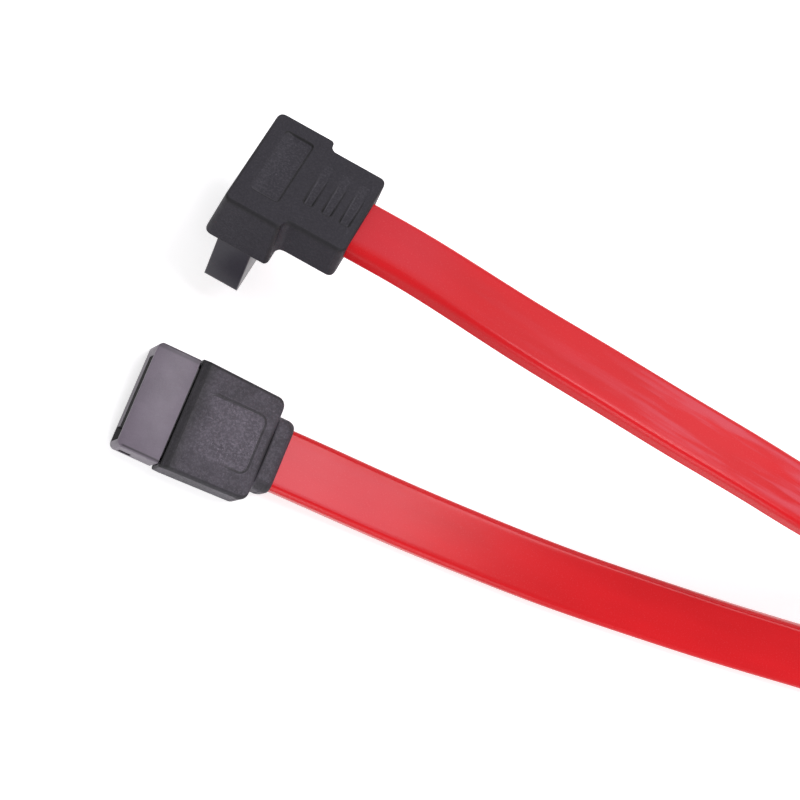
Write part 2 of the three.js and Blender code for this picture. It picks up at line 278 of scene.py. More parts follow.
def aimed_object(
    name: str, data: bpy.types.ID, axes: Sequence[np.ndarray], here: np.ndarray
) -> bpy.types.Object:
    """A new camera or light in the scene.

    Args:
        name: its name.
        data: what it holds.
        axes: its own X, Y and Z, as unit vectors.
        here: its place, in metres.

    Returns:
        The object.
    """
    made = make_object(name, data)
    turned = Matrix(np.stack(axes, axis=1).tolist()).to_4x4()
    turned.translation = here.tolist()
    made.matrix_world = turned
    return made


def skin(
    name: str,
    points: np.ndarray,
    wrap_rows: bool = False,
    marks: dict[str, np.ndarray] | None = None,
    uv: np.ndarray | None = None,
) -> bpy.types.Object:
    """A closed mesh over a grid whose samples close on themselves.

    Rows either close too, or end in a fan of triangles round the last row's middle.

    Args:
        name: the piece's name.
        points: rows by samples by 3, in metres.
        wrap_rows: whether the rows close.
        marks: values for each grid point, kept as attributes.
        uv: rows by samples by 2, for the piece's UV map.

    Returns:
        The new object, its faces pointing out.
    """
    rows, samples = points.shape[:2]
    index = np.arange(rows * samples).reshape(rows, samples)
    if wrap_rows:
        index = np.vstack([index, index[:1]])
    beside = np.roll(index, -1, axis=1)
    quads = np.stack([index[:-1], index[1:], beside[1:], beside[:-1]], -1).reshape(-1, 4)
    places = points.reshape(-1, 3)
    fans = np.zeros((0, 3), int)
    if not wrap_rows:
        places = np.vstack([places, points[0].mean(0), points[-1].mean(0)])
        first = np.full(samples, rows * samples)
        fans = np.vstack([
            np.stack([index[0], beside[0], first], -1),
            np.stack([beside[-1], index[-1], first + 1], -1),
        ])
    corners = places[np.vstack([quads[:, [0, 1, 2]], quads[:, [0, 2, 3]], fans])]
    volume = np.einsum("ij,ij->i", corners[:, 0], np.cross(corners[:, 1], corners[:, 2])).sum()
    if volume < 0:
        quads, fans = quads[:, ::-1], fans[:, ::-1]
    mesh = bpy.data.meshes.new(name)
    mesh.from_pydata(places.tolist(), [], quads.tolist() + fans.tolist())
    mesh.polygons.foreach_set("use_smooth", np.ones(len(mesh.polygons), bool))
    extra = places.shape[0] - rows * samples
    for mark, values in (marks or {}).items():
        layer = mesh.attributes.new(mark, "FLOAT", "POINT")
        layer.data.foreach_set("value", np.append(values.ravel(), np.zeros(extra)))
    if uv is not None:
        corner_of = np.zeros(len(mesh.loops), int)
        mesh.loops.foreach_get("vertex_index", corner_of)
        flat = np.vstack([uv.reshape(-1, 2), np.zeros((extra, 2))])
        mesh.uv_layers.new(name="along_across").uv.foreach_set("vector", flat[corner_of].ravel())
    mesh.update()
    return make_object(name, mesh)


# Finishes


class Tree:
    """Places shader nodes in a tree and joins them."""

    def __init__(self, tree: bpy.types.NodeTree) -> None:
        """Starts on an empty tree."""
        self.tree = tree
        self.count = 0

    def add(self, kind: str, **settings: object) -> bpy.types.Node:
        """A new node.

        Args:
            kind: the node's type.
            settings: its properties.

        Returns:
            The node.
        """
        node = self.tree.nodes.new(kind)
        node.location = (180 * self.count, -60 * (self.count % 4))
        self.count += 1
        for key, value in settings.items():
            setattr(node, key, value)
        return node

    def feed(self, target: bpy.types.NodeSocket, source: object) -> None:
        """Joins a socket to the target, or sets the target's own value."""
        if isinstance(source, bpy.types.NodeSocket):
            self.tree.links.new(source, target)
        else:
            target.default_value = source

    def math(self, operation: str, a: object, b: object = 0.0, c: object = 0.0) -> object:
        """The result of a Math node."""
        node = self.add("ShaderNodeMath", operation=operation)
        for socket, value in zip(node.inputs, (a, b, c)):
            self.feed(socket, value)
        return node.outputs[0]

    def noise(self, vector: object, scale: object, detail: float, rough: float = 0.5) -> object:
        """The value of a Noise Texture."""
        node = self.add("ShaderNodeTexNoise")
        self.feed(node.inputs["Vector"], vector)
        self.feed(node.inputs["Scale"], scale)
        node.inputs["Detail"].default_value = detail
        node.inputs["Roughness"].default_value = rough
        return node.outputs["Fac"]

    def step(self, value: object, low: float, high: float, to: tuple = (0.0, 1.0)) -> object:
        """A value taken smoothly from one range to another."""
        node = self.add("ShaderNodeMapRange", interpolation_type="SMOOTHSTEP")
        for socket, amount in zip(node.inputs, (value, low, high, *to)):
            self.feed(socket, amount)
        return node.outputs[0]

    def blend(self, factor: object, first: object, second: object) -> object:
        """Two colours mixed by a factor."""
        node = self.add("ShaderNodeMix", data_type="RGBA")
        self.feed(node.inputs["Factor"], factor)
        self.feed(node.inputs[6], first)
        self.feed(node.inputs[7], second)
        return node.outputs[2]


def shared_group(
    name: str,
    inputs: dict[str, float],
    outputs: Sequence[str],
    fill: Callable[[Tree, bpy.types.Node, bpy.types.Node], None],
) -> bpy.types.NodeTree:
    """A shader node group that several finishes use, made once.

    Args:
        name: the group's name.
        inputs: its number inputs and their values.
        outputs: its number outputs.
        fill: puts the nodes in, given the tree and the group's two ends.

    Returns:
        The group.
    """
    if name in bpy.data.node_groups:
        return bpy.data.node_groups[name]
    group = bpy.data.node_groups.new(name, "ShaderNodeTree")
    for key, value in inputs.items():
        socket = group.interface.new_socket(key, in_out="INPUT", socket_type="NodeSocketFloat")
        socket.default_value = value
    for key in outputs:
        group.interface.new_socket(key, in_out="OUTPUT", socket_type="NodeSocketFloat")
    tree = Tree(group)
    fill(tree, tree.add("NodeGroupInput"), tree.add("NodeGroupOutput"))
    return group


def moulded_grain() -> bpy.types.NodeTree:
    """Grain of a spark-eroded mould: fine height, broad clouds, and mottling with specks."""

    def fill(tree: Tree, given: bpy.types.Node, put: bpy.types.Node) -> None:
        """Lays the grain out."""
        place = tree.add("ShaderNodeTexCoord").outputs["Object"]
        fine = tree.math("DIVIDE", 1000.0, given.outputs["Grain mm"])
        broad = tree.math("DIVIDE", 1000.0, given.outputs["Cloud mm"])
        pits = tree.noise(place, fine, 3.0, 0.6)
        coarse = tree.noise(place, tree.math("MULTIPLY", fine, 0.37), 2.0)
        height = tree.math("MULTIPLY_ADD", coarse, 0.6, pits)
        cloud = tree.step(tree.noise(place, broad, 3.0), 0.34, 0.66)
        glints = tree.noise(place, tree.math("MULTIPLY", fine, 0.62), 0.0)
        clumps = tree.step(tree.noise(place, tree.math("MULTIPLY", fine, 0.07), 1.0), 0.4, 0.6)
        glint = tree.math("MULTIPLY", tree.step(glints, 0.7, 0.78), clumps)
        blotches = tree.noise(place, tree.math("MULTIPLY", fine, 0.55), 3.0, 0.65)
        mottle = tree.step(blotches, 0.42, 0.66)
        speck = tree.math("MAXIMUM", tree.math("MULTIPLY", mottle, 0.55), glint)
        for key, value in (("Height", height), ("Cloud", cloud), ("Speck", speck)):
            tree.feed(put.inputs[key], value)

    return shared_group(
        "moulded_grain", {"Grain mm": 0.12, "Cloud mm": 3.0}, ("Height", "Cloud", "Speck"), fill
    )


def edge_wear_sheen_and_shade() -> bpy.types.NodeTree:
    """Outer edges lighter from wear and a painted highlight, inner corners darker from dust and
    painted shade, both from how sharply the surface turns.
    """

    def fill(tree: Tree, given: bpy.types.Node, put: bpy.types.Node) -> None:
        """Lays the masks out."""
        place = tree.add("ShaderNodeTexCoord").outputs["Object"]
        patchy = tree.step(tree.noise(place, 900.0, 3.0, 0.6), 0.35, 0.65, (0.35, 1.0))
        turn = given.outputs["Turn"]
        # Outer edges: wear and a painted highlight. Inner corners: dust and painted shade.
        wear_sheen_mask = tree.math("MULTIPLY", tree.step(turn, 0.4, 2.2), patchy)
        dust_and_shade = tree.step(tree.math("MULTIPLY", turn, -1.0), 0.4, 2.4)
        tree.feed(put.inputs["Wear and sheen"], wear_sheen_mask)
        tree.feed(put.inputs["Dust and shade"], dust_and_shade)

    return shared_group("edge_wear_sheen_and_shade", {"Turn": 0.0}, ("Wear and sheen", "Dust and shade"), fill)


@dataclass(frozen=True)
class PaintedEdgeShade:
    """Painted shade along a shell's top edges: a band along one side of its top and a line
    along the other.

    Places are in the shell's own frame, in millimetres.
    """

    band_y: tuple[float, float] = (6.15, 6.5)
    band_dark: float = 0.5
    line_y: float = -6.72
    line_half: tuple[float, float] = (0.05, 0.2)
    line_dark: float = 0.75
    line_x: tuple[float, float] = (0.4, 0.9)
    top_z: tuple[float, float] = (1.7, 2.1)

    def mask(self, tree: Tree) -> object:
        """How dark the painted edge shade is; 0 on a mesh without places."""
        place = tree.add("ShaderNodeAttribute", attribute_name="place").outputs["Vector"]
        split = tree.add("ShaderNodeSeparateXYZ")
        tree.feed(split.inputs[0], place)
        x, y, z = split.outputs
        band = tree.math("MULTIPLY", tree.step(y, *self.band_y), self.band_dark)
        off = tree.math("ABSOLUTE", tree.math("SUBTRACT", y, self.line_y))
        line = tree.math(
            "MULTIPLY",
            tree.step(off, *self.line_half, (self.line_dark, 0.0)),
            tree.step(x, *self.line_x),
        )
        top = tree.step(z, *self.top_z)
        return tree.math("MULTIPLY", tree.math("MAXIMUM", band, line), top)


@dataclass(frozen=True)
class MouldedPlastic:
    """Moulded plastic with grain, clouds and specks. Outer edges are lighter from wear and a
    painted highlight, inner corners darker from dust and painted shade, and hollows, grooves
    and some edges darker from painted shade.

    Each share says how much of a mask shows, and each part how much of the shade is left.
    """

    name: str
    slot: str
    shade: Colour
    cloud: Colour
    speck: Colour
    wear_sheen: Colour
    roughness: tuple[float, float]
    grain_mm: float
    cloud_mm: float
    depth_mm: float
    specular: float = 0.4
    rough_share: float = 0.55
    cloud_share: float = 0.45
    speck_share: tuple[float, float] = (0.4, 0.6)
    wear_sheen_share: float = 0.6
    worn_gloss: float = 0.12
    dust_shade_part: float = 0.45
    hollow_part: float = 0.07

    def material(self) -> bpy.types.Material:
        """The finish as a material, made once."""
        if self.name in bpy.data.materials:
            return bpy.data.materials[self.name]
        made = bpy.data.materials.new(self.name)
        made.use_nodes = True
        tree = Tree(made.node_tree)
        surface = made.node_tree.nodes["Principled BSDF"]
        grain = tree.add("ShaderNodeGroup", node_tree=moulded_grain())
        grain.inputs["Grain mm"].default_value = self.grain_mm
        grain.inputs["Cloud mm"].default_value = self.cloud_mm
        edges = tree.add("ShaderNodeGroup", node_tree=edge_wear_sheen_and_shade())
        turn = tree.add("ShaderNodeAttribute", attribute_name="turn")
        tree.feed(edges.inputs["Turn"], turn.outputs["Fac"])
        rough_here = tree.add("ShaderNodeAttribute", attribute_name="rough").outputs["Fac"]
        clouded = tree.math("MULTIPLY", grain.outputs["Cloud"], self.cloud_share)
        pale = tree.math("MULTIPLY_ADD", rough_here, self.rough_share, clouded)
        colour = tree.blend(pale, (*self.shade, 1.0), (*self.cloud, 1.0))
        plain, rougher = self.speck_share
        share = tree.math("MULTIPLY_ADD", rough_here, rougher, plain)
        specks = tree.math("MULTIPLY", grain.outputs["Speck"], share)
        colour = tree.blend(specks, colour, (*self.speck, 1.0))
        # Outer edges lighter: wear and a painted highlight.
        wear_sheen_mask = tree.math("MULTIPLY", edges.outputs["Wear and sheen"], self.wear_sheen_share)
        colour = tree.blend(wear_sheen_mask, colour, (*self.wear_sheen, 1.0))
        # Inner corners darker: dust and painted shade.
        deep = tuple(self.dust_shade_part * part for part in self.shade)
        colour = tree.blend(edges.outputs["Dust and shade"], colour, (*deep, 1.0))
        # Painted shade in hollows, grooves, on recess walls and along edges.
        dim = tree.add("ShaderNodeAttribute", attribute_name="dim").outputs["Fac"]
        dim = tree.math("MAXIMUM", dim, PaintedEdgeShade().mask(tree))
        hollow = tuple(self.hollow_part * part for part in self.shade)
        colour = tree.blend(dim, colour, (*hollow, 1.0))
        tree.feed(surface.inputs["Base Color"], colour)
        rough = tree.step(grain.outputs["Height"], 0.4, 1.2, self.roughness[::-1])
        smoother = tree.math("MULTIPLY", edges.outputs["Wear and sheen"], -self.worn_gloss)
        tree.feed(surface.inputs["Roughness"], tree.math("ADD", rough, smoother))
        surface.inputs["Specular IOR Level"].default_value = self.specular
        bump = tree.add("ShaderNodeBump")
        bump.inputs["Strength"].default_value = 1.0
        bump.inputs["Distance"].default_value = self.depth_mm * MM
        tree.feed(bump.inputs["Height"], grain.outputs["Height"])
        tree.feed(surface.inputs["Normal"], bump.outputs["Normal"])
        return made


@dataclass(frozen=True)
class ExtrudedJacket:
    """Soft extruded plastic: die lines, a drift of shade, and a painted glare: pale streaks on
    its top face over the middle of the run and a pale haze near each end.

    Places are metres along the cable and around its section, and scales are along and around.
    """

    name: str
    slot: str
    shade: Colour
    deep: Colour
    painted_glare: Colour
    roughness: tuple[float, float]
    specular: float = 0.2
    line_scale: tuple[float, float] = (25.0, 2600.0)
    drift_scale: tuple[float, float] = (40.0, 180.0)
    streak_scale: tuple[float, float] = (48.0, 560.0)
    grain_scale: float = 5200.0
    streaks_rise: tuple[float, float] = (0.08, 0.13)
    streaks_fall: tuple[float, float] = (0.38, 0.415)
    faint_streaks: float = 0.1
    end_glare: float = 0.4
    first_glare: tuple[float, float] = (0.012, 0.026)
    last_glare: tuple[float, float] = (0.418, 0.43)
    face_edge: tuple[float, float] = (0.0056, 0.0068)
    line_depth_mm: float = 0.003

    @staticmethod
    def along_map(tree: Tree, lies: object, scale: tuple[float, float]) -> object:
        """The place on the jacket, scaled along and around it."""
        node = tree.add("ShaderNodeMapping")
        node.inputs["Scale"].default_value = (*scale, 1.0)
        tree.feed(node.inputs["Vector"], lies)
        return node.outputs["Vector"]

    def material(self) -> bpy.types.Material:
        """The finish as a new material."""
        made = bpy.data.materials.new(self.name)
        made.use_nodes = True
        tree = Tree(made.node_tree)
        surface = made.node_tree.nodes["Principled BSDF"]
        lies = tree.add("ShaderNodeUVMap", uv_map="along_across").outputs["UV"]
        lines = tree.noise(self.along_map(tree, lies, self.line_scale), 1.0, 2.0)
        slow = tree.noise(self.along_map(tree, lies, self.drift_scale), 1.0, 2.0)
        drift = tree.step(slow, 0.3, 0.7)
        drawn = tree.noise(self.along_map(tree, lies, self.streak_scale), 1.0, 3.0, 0.6)
        streak = tree.step(drawn, 0.45, 0.62)
        place = tree.add("ShaderNodeTexCoord").outputs["Object"]
        fine = tree.noise(place, self.grain_scale, 2.0, 0.6)
        colour = tree.blend(drift, (*self.shade, 1.0), (*self.deep, 1.0))
        split = tree.add("ShaderNodeSeparateXYZ")
        tree.feed(split.inputs[0], lies)
        along, around = split.outputs[0], split.outputs[1]
        # Pale streaks on the top face over the middle of the run are a painted glare.
        ending = tree.step(along, *self.streaks_fall, (1.0, self.faint_streaks))
        glare_span = tree.math("MULTIPLY", tree.step(along, *self.streaks_rise), ending)
        streaked = tree.math("MULTIPLY", streak, glare_span)
        # A painted glare near each end of the cable.
        haze = tree.math(
            "MAXIMUM",
            tree.step(along, *self.first_glare, (self.end_glare, 0.0)),
            tree.step(along, *self.last_glare, (0.0, self.end_glare)),
        )
        pale = tree.math("MAXIMUM", streaked, haze)
        # The painted glare stays on the top face.
        pale = tree.math("MULTIPLY", pale, tree.step(around, *self.face_edge, (1.0, 0.0)))
        colour = tree.blend(pale, colour, (*self.painted_glare, 1.0))
        tree.feed(surface.inputs["Base Color"], colour)
        tree.feed(surface.inputs["Roughness"], tree.step(fine, 0.3, 0.7, self.roughness))
        surface.inputs["Specular IOR Level"].default_value = self.specular
        height = tree.math("MULTIPLY_ADD", fine, 0.35, lines)
        bump = tree.add("ShaderNodeBump")
        bump.inputs["Strength"].default_value = 1.0
        bump.inputs["Distance"].default_value = self.line_depth_mm * MM
        tree.feed(bump.inputs["Height"], height)
        tree.feed(surface.inputs["Normal"], bump.outputs["Normal"])
        return made


@dataclass(frozen=True)
class PlatedMetal:
    """Plated metal with fine rolling marks."""

    name: str
    slot: str
    bright: Colour
    dull: Colour
    roughness: tuple[float, float]
    roll_scale: tuple[float, float, float] = (300.0, 6000.0, 6000.0)
    haze_scale: float = 800.0

    def material(self) -> bpy.types.Material:
        """The finish as a material, made once."""
        if self.name in bpy.data.materials:
            return bpy.data.materials[self.name]
        made = bpy.data.materials.new(self.name)
        made.use_nodes = True
        tree = Tree(made.node_tree)
        surface = made.node_tree.nodes["Principled BSDF"]
        place = tree.add("ShaderNodeTexCoord").outputs["Object"]
        rolled = tree.add("ShaderNodeMapping")
        rolled.inputs["Scale"].default_value = self.roll_scale
        tree.feed(rolled.inputs["Vector"], place)
        marks = tree.noise(rolled.outputs["Vector"], 1.0, 2.0)
        haze = tree.step(tree.noise(place, self.haze_scale, 2.0), 0.35, 0.7)
        tree.feed(
            surface.inputs["Base Color"],
            tree.blend(haze, (*self.bright, 1.0), (*self.dull, 1.0)),
        )
        tree.feed(surface.inputs["Roughness"], tree.step(marks, 0.3, 0.7, self.roughness))
        surface.inputs["Metallic"].default_value = 1.0
        return made


OVERMOULD_GREY = MouldedPlastic(
    "matte_grey_overmould", "overmould_grey",
    shade=(0.021, 0.018, 0.0245), cloud=(0.061, 0.053, 0.068), speck=(0.15, 0.134, 0.163),
    wear_sheen=(0.085, 0.082, 0.092), roughness=(0.5, 0.72), grain_mm=0.16, cloud_mm=2.6,
    depth_mm=0.03,
)
OVERMOULD_BLACK = MouldedPlastic(
    "matte_black_overmould", "overmould_black",
    shade=(0.0115, 0.01, 0.015), cloud=(0.016, 0.0145, 0.02), speck=(0.045, 0.042, 0.052),
    wear_sheen=(0.045, 0.042, 0.05), roughness=(0.5, 0.7), grain_mm=0.15, cloud_mm=2.2,
    depth_mm=0.022, specular=0.28,
)
HOUSING_GREY = MouldedPlastic(
    "satin_grey_housing", "housing_grey",
    shade=(0.1, 0.081, 0.106), cloud=(0.149, 0.123, 0.157), speck=(0.168, 0.15, 0.178),
    wear_sheen=(0.2, 0.19, 0.21), roughness=(0.36, 0.48), grain_mm=0.07, cloud_mm=3.4,
    depth_mm=0.004,
)
HOUSING_BLACK = MouldedPlastic(
    "satin_black_housing", "housing_black",
    shade=(0.021, 0.019, 0.027), cloud=(0.026, 0.024, 0.032), speck=(0.05, 0.048, 0.057),
    wear_sheen=(0.06, 0.057, 0.068), roughness=(0.28, 0.34), grain_mm=0.07, cloud_mm=3.4,
    depth_mm=0.004, specular=0.3,
)
INNER_MOULD = MouldedPlastic(
    "natural_inner_mould", "inner_mould",
    shade=(0.55, 0.52, 0.44), cloud=(0.62, 0.59, 0.51), speck=(0.66, 0.64, 0.58),
    wear_sheen=(0.68, 0.66, 0.6), roughness=(0.5, 0.65), grain_mm=0.1, cloud_mm=2.0,
    depth_mm=0.006,
)
INSULATION = MouldedPlastic(
    "foamed_insulation", "conductor_insulation",
    shade=(0.78, 0.75, 0.68), cloud=(0.84, 0.82, 0.76), speck=(0.86, 0.85, 0.8),
    wear_sheen=(0.86, 0.85, 0.8), roughness=(0.45, 0.6), grain_mm=0.08, cloud_mm=1.2,
    depth_mm=0.005,
)
JACKET_RED = ExtrudedJacket(
    "red_cable_jacket", "cable_red",
    shade=(0.64, 0.0065, 0.0115), deep=(0.57, 0.005, 0.009), painted_glare=(0.62, 0.055, 0.075),
    roughness=(0.21, 0.28),
)
GOLD = PlatedMetal(
    "gold_plated_contact", "contact_gold",
    bright=(0.83, 0.62, 0.27), dull=(0.7, 0.5, 0.2), roughness=(0.22, 0.36),
)
TINNED = PlatedMetal(
    "tinned_drain_wire", "drain_tinned",
    bright=(0.72, 0.73, 0.75), dull=(0.55, 0.56, 0.58), roughness=(0.28, 0.42),
)


def dress(piece: bpy.types.Object, finish: MouldedPlastic | ExtrudedJacket | PlatedMetal) -> None:
    """Gives a new piece its finish and its body."""
    piece.data.materials.clear()
    piece.data.materials.append(finish.material())
    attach(piece, BODY)


def dress_node(name: str, finish: MouldedPlastic | PlatedMetal) -> None:
    """Gives a node that stays its finish."""
    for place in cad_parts[name].material_slots:
        place.material = finish.material()


# Where things lie


class FloorPlan:
    """The straight connector's own floor plan: its mating face is at x = 0 and y = 0 is its middle.

    All measures are in millimetres, and the floor is at z = 0.
    """

    def __init__(self) -> None:
        """Finds the plan's origin from the straight connector's housing."""
        low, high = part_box("straight_receptacle")
        self.origin = np.array([low.x, (low.y + high.y) / 2, 0.0])

    def place(self, points: np.ndarray) -> np.ndarray:
        """Points of the plan in the model's frame, in metres."""
        return np.asarray(points, float) * MM + self.origin

    def measure(self, points: np.ndarray) -> np.ndarray:
        """Points of the model's frame, in metres, as millimetres on the plan."""
        return (np.asarray(points, float) - self.origin) / MM


@dataclass
class Viewpoint:
    """The camera, on the floor plan."""

    position: tuple[float, float, float] = (-48.09, -54.19, 290.46)
    right: tuple[float, float, float] = (0.8717, 0.3643, 0.3278)
    down: tuple[float, float, float] = (0.4151, -0.9044, -0.0984)
    lens_mm: float = 108.0
    sensor_mm: float = 36.0

    def build(self, plan: FloorPlan) -> bpy.types.Object:
        """Makes the scene's camera."""
        data = bpy.data.cameras.new("viewpoint")
        data.lens, data.sensor_width = self.lens_mm, self.sensor_mm
        data.sensor_fit = "HORIZONTAL"
        data.clip_start, data.clip_end = 0.01, 10.0
        across = np.array(self.right) / np.linalg.norm(self.right)
        above = -np.array(self.down)
        above -= across * (above @ across)
        above /= np.linalg.norm(above)
        axes = (across, above, np.cross(across, above))
        camera = aimed_object("viewpoint", data, axes, plan.place(np.array(self.position)))
        bpy.context.scene.camera = camera
        return camera


# The cable


@dataclass
class FlatCable:
    """The flat jacket: its route on the floor plan, and its rounded section."""

    width: float = 8.2
    thick: float = 2.7
    corner: float = 0.8
    step: float = 0.45
    straight_exit: tuple[float, float, float] = (20.5, 0.0, 2.7)
    # Each stretch on the floor: [x, y, gap under the lowest edge, lean in degrees].
    on_floor: tuple = (
        (18.5, 0, 1.35, 0), (24, 0.12, 1.3, 0), (31.5, 0.3, 0.75, 0), (39, 0.53, 0.2, 1),
        (48, 0.87, 0.05, 3), (61, 1.6, 0.05, 7), (71.6, 2.6, 0.05, 11), (86, 4.2, 0.05, 17),
        (96, 5.5, 0.05, 22), (105, 6.3, 0.05, 30), (113.5, 5.4, 0.05, 42),
        (122.2, 1.1, 0.05, 57), (131, -5.8, 0.05, 72), (140.8, -13.6, 0.05, 84),
        (151.5, -20.2, 0.05, 90), (163.6, -24, 0.05, 90), (178, -23, 0.05, 90),
        (190, -15.8, 0.05, 90), (198, -3.8, 0.05, 90), (201, 10.4, 0.05, 90),
        (199, 24.8, 0.05, 90), (192.2, 37.6, 0.05, 90), (181.6, 46.9, 0.05, 90),
        (169.2, 51.5, 0.08, 90),
    )
    # The climb to the tipped connector: [x, y, centre height, lean].
    climbing: tuple = (
        (157.3, 51.2, 4.4, 86), (146.5, 47.4, 5.4, 77), (136.8, 41, 7.6, 65),
        (127.5, 34.2, 10.9, 52), (117.5, 28, 15, 38), (107, 23.4, 19.1, 25),
        (96, 20.5, 22.5, 16), (84.6, 18.9, 24.6, 12), (71.8, 19.6, 25.4, 12),
        (59.7, 20.6, 25.35, 13), (48, 21.9, 24.6, 15), (36.7, 23.35, 23.15, 18),
    )

    def route(self, ending: np.ndarray, lean: float) -> tuple[np.ndarray, np.ndarray]:
        """The centreline's points and leans.

        On the floor the centre stands over the lowest edge by half the flat's width times the
        lean's sine, plus half its thickness times the cosine, plus the corner radius.

        Args:
            ending: the last points, in the tipped connector, on the floor plan.
            lean: the lean there.

        Returns:
            The points in millimetres, and the leans in degrees.
        """
        floor = np.array(self.on_floor, float)
        climb = np.array(self.climbing, float)
        angle = np.radians(floor[:, 3])
        reach = (
            (self.width / 2 - self.corner) * np.sin(angle)
            + (self.thick / 2 - self.corner) * np.cos(angle)
            + self.corner
        )
        low = np.column_stack([floor[:, :2], floor[:, 2] + reach])
        points = np.vstack([low, climb[:, :3], ending])
        leans = np.concatenate([floor[:, 3], climb[:, 3], np.full(len(ending), lean)])
        return points, leans

    @staticmethod
    def spline(knots: np.ndarray, values: np.ndarray, at: np.ndarray) -> np.ndarray:
        """A natural cubic spline: its second derivatives solve one banded system.

        Args:
            knots: rising places of the values.
            values: one row for each knot.
            at: where to evaluate it.

        Returns:
            One row for each place.
        """
        gap = np.diff(knots)
        count = knots.size
        system = np.eye(count)
        inner = np.arange(1, count - 1)
        system[inner, inner - 1] = gap[:-1]
        system[inner, inner] = 2 * (gap[:-1] + gap[1:])
        system[inner, inner + 1] = gap[1:]
        slope = np.diff(values, axis=0) / gap[:, None]
        right = np.zeros_like(values)
        right[inner] = 6 * np.diff(slope, axis=0)
        bend = np.linalg.solve(system, right)
        cell = np.clip(np.searchsorted(knots, at, side="right") - 1, 0, count - 2)
        wide = gap[cell][:, None]
        a = (knots[cell + 1] - at)[:, None] / wide
        b = 1 - a
        curve = (a**3 - a) * bend[cell] + (b**3 - b) * bend[cell + 1]
        return a * values[cell] + b * values[cell + 1] + curve * wide**2 / 6

    def line(self, ending: np.ndarray, lean: float) -> tuple[np.ndarray, np.ndarray]:
        """The centreline and leans at even steps of its own length."""
        points, leans = self.route(ending, lean)
        knots = np.append(0.0, np.cumsum(np.linalg.norm(np.diff(points, axis=0), axis=1)))
        dense = np.linspace(0.0, knots[-1], 4000)
        all_of_it = self.spline(knots, np.column_stack([points, leans]), dense)
        run = np.append(0.0, np.cumsum(np.linalg.norm(np.diff(all_of_it[:, :3], axis=0), axis=1)))
        even = np.linspace(0.0, run[-1], int(run[-1] / self.step))
        found = np.column_stack([np.interp(even, run, column) for column in all_of_it.T])
        return found[:, :3], found[:, 3]

    def build(self, plan: FloorPlan, ending: np.ndarray, lean: float) -> bpy.types.Object:
        """The jacket, swept along the route and leaning with it.

        The tangent is the centreline's difference. The left side is up crossed with it, the top
        is it crossed with left, and both turn about it by the lean.

        Args:
            plan: the floor plan.
            ending: the route's last points on the plan.
            lean: the lean there, in degrees.

        Returns:
            The jacket.
        """
        centre, leans = self.line(ending, lean)
        tangent = np.gradient(centre, axis=0)
        tangent /= np.linalg.norm(tangent, axis=1, keepdims=True)
        left = np.cross([0.0, 0.0, 1.0], tangent)
        left /= np.linalg.norm(left, axis=1, keepdims=True)
        top = np.cross(tangent, left)
        turn = np.radians(leans)[:, None]
        wide = left * np.cos(turn) + top * np.sin(turn)
        tall = top * np.cos(turn) - left * np.sin(turn)
        flat = np.linspace(-1, 1, 17)
        section = Section.rounded(flat, flat, side=5, bend=5)
        y = section.across * (self.width / 2 - self.corner) + section.out_y * self.corner
        z = section.up * (self.thick / 2 - self.corner) + section.out_z * self.corner
        grid = centre[:, None, :] + wide[:, None, :] * y[:, None] + tall[:, None, :] * z[:, None]
        run = np.append(0.0, np.cumsum(np.linalg.norm(np.diff(centre, axis=0), axis=1)))
        around = np.cumsum(np.hypot(np.diff(y, prepend=y[0]), np.diff(z, prepend=z[0])))
        uv = np.stack(np.broadcast_arrays(run[:, None] * MM, around[None, :] * MM), axis=-1)
        piece = skin("flat_cable_jacket", plan.place(grid), uv=uv)
        dress(piece, JACKET_RED)
        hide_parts("flat_cable")
        plan.place(np.array(self.straight_exit)).tolist()
        plan.place(centre[::4]).tolist() + [plan.place(centre[-1]).tolist()]
        LOG.info("flat_cable_jacket: %.1f mm long, %d stations", run[-1], len(centre))
        return piece


# The connectors


